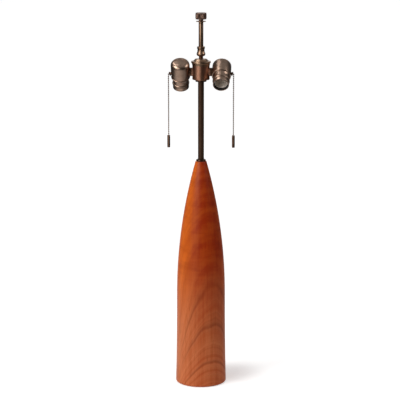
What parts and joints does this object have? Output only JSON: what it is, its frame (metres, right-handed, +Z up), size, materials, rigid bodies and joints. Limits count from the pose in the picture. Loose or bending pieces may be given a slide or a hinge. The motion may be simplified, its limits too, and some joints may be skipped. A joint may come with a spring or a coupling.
{
  "type": "table lamp",
  "caption": "Table lamp with a tapering turned wood column, a dark metal pole, swivelling pull-chain bulb sockets on a cluster and a riser with a finial for a shade.",
  "frame": {"origin": "centre of the foot, on the table", "axes": "+Z up the pole, the two socket arms along X, front towards -Y, cord inlet towards +Y"},
  "size_m": [0.1438, 0.1084, 0.8006],
  "materials": {
    "felt": "green felt",
    "teak": "oiled, satin",
    "bushing": "matte black",
    "steel": "zinc plated",
    "bronze": "antique bronze patina, lacquered",
    "dark_bronze": "dark bronze patina",
    "brass": "plain",
    "nickel": "nickel plated screw shell",
    "core": "unglazed",
    "liner": "black insulating fibre",
    "wire": "insulated wire",
    "sleeve": "crimped"
  },
  "bodies": {
    "lamp": {"felt_pad": "felt", "wood_column": "teak", "cord_bushing": "bushing", "base_washer": "steel", "base_nut": "steel", "lamp_rod": "steel", "check_collar": "dark_bronze", "pole_tube": "dark_bronze", "seat_ring": "dark_bronze", "cluster_cup": "bronze", "cluster_nut": "steel", "cluster_lid": "bronze", "stem_nut": "steel", "riser_stem": "dark_bronze", "riser_coupling": "bronze", "riser_rod": "bronze", "shade_washer": "dark_bronze", "nipple_lock_nuts": "steel", "swivel_nuts": "steel", "splice_sleeves": "sleeve", "splice_wires": "wire", "left_swivel_nipple": "steel", "right_swivel_nipple": "steel"},
    "finial": {"finial": "bronze"},
    "left_socket": {"left_swivel_knuckle": "dark_bronze", "left_socket_cap": "bronze", "left_socket_shell": "bronze", "left_socket_liner": "liner", "left_screw_shell": "nickel", "left_socket_core": "core", "left_centre_contact": "brass", "left_terminal_screws": "brass", "left_socket_leads": "wire", "left_lever_pin": "steel", "left_lever_spring": "steel", "left_chain_guide": "dark_bronze"},
    "left_inner_chain": {"left_inner_chain": "bronze"},
    "left_lever": {"left_switch_lever": "steel"},
    "left_lip_bead": {"left_lip_bead": "bronze"},
    "left_chain": {"left_hanging_chain": "bronze", "left_chain_pull": "bronze"},
    "right_socket": {"right_swivel_knuckle": "dark_bronze", "right_socket_cap": "bronze", "right_socket_shell": "bronze", "right_socket_liner": "liner", "right_screw_shell": "nickel", "right_socket_core": "core", "right_centre_contact": "brass", "right_terminal_screws": "brass", "right_socket_leads": "wire", "right_lever_pin": "steel", "right_lever_spring": "steel", "right_chain_guide": "dark_bronze"},
    "right_inner_chain": {"right_inner_chain": "bronze"},
    "right_lever": {"right_switch_lever": "steel"},
    "right_lip_bead": {"right_lip_bead": "bronze"},
    "right_chain": {"right_hanging_chain": "bronze", "right_chain_pull": "bronze"}
  },
  "joints": [
    {"name": "finial_lift", "type": "slide", "parent": "lamp", "child": "finial", "axis": [0, 0, 1], "range_m": [0, 0.013]},
    {"name": "left_swivel", "type": "hinge", "parent": "lamp", "child": "left_socket", "pos_m": [-0.0433, 0, 0.6765], "axis": [1, 0, 0], "range_deg": [-120, 60]},
    {"name": "left_pull", "type": "slide", "parent": "left_socket", "child": "left_inner_chain", "axis": [-0.9272, 0.1873, -0.3244], "range_m": [0, 0.006], "stiffness_N_per_m": 500, "springref_m": -0.006},
    {"name": "left_lever_turn", "type": "hinge", "parent": "left_socket", "child": "left_lever", "pos_m": [-0.05545, -0.00386, 0.68319], "axis": [0, 0.866, 0.5], "range_deg": [0, 38.95]},
    {"name": "left_chain_plumb", "type": "hinge", "parent": "left_inner_chain", "child": "left_lip_bead", "pos_m": [-0.0687, 0.00339, 0.67063], "axis": [1, 0, 0], "range_deg": [-60, 120]},
    {"name": "left_chain_swing", "type": "hinge", "parent": "left_lip_bead", "child": "left_chain", "pos_m": [-0.0687, 0.00339, 0.67063], "axis": [0, -1, 0], "range_deg": [-25, 10]},
    {"name": "right_swivel", "type": "hinge", "parent": "lamp", "child": "right_socket", "pos_m": [0.0433, 0, 0.6765], "axis": [1, 0, 0], "range_deg": [-34, 146]},
    {"name": "right_pull", "type": "slide", "parent": "right_socket", "child": "right_inner_chain", "axis": [0.9272, -0.3106, -0.2095], "range_m": [0, 0.006], "stiffness_N_per_m": 500, "springref_m": -0.006},
    {"name": "right_lever_turn", "type": "hinge", "parent": "right_socket", "child": "right_lever", "pos_m": [0.05545, 0.0064, 0.68082], "axis": [0, -0.5592, 0.829], "range_deg": [0, 38.95]},
    {"name": "right_chain_plumb", "type": "hinge", "parent": "right_inner_chain", "child": "right_lip_bead", "pos_m": [0.0687, -0.00562, 0.67271], "axis": [1, 0, 0], "range_deg": [-146, 34]},
    {"name": "right_chain_swing", "type": "hinge", "parent": "right_lip_bead", "child": "right_chain", "pos_m": [0.0687, -0.00562, 0.67271], "axis": [0, 1, 0], "range_deg": [-25, 10]}
  ],
  "couplings": [
    {"joint": "left_lever_turn", "follows": "left_pull", "rad_per_m": 113.28},
    {"joint": "left_chain_plumb", "follows": "left_swivel", "ratio": -1},
    {"joint": "right_lever_turn", "follows": "right_pull", "rad_per_m": 113.28},
    {"joint": "right_chain_plumb", "follows": "right_swivel", "ratio": -1}
  ]
}
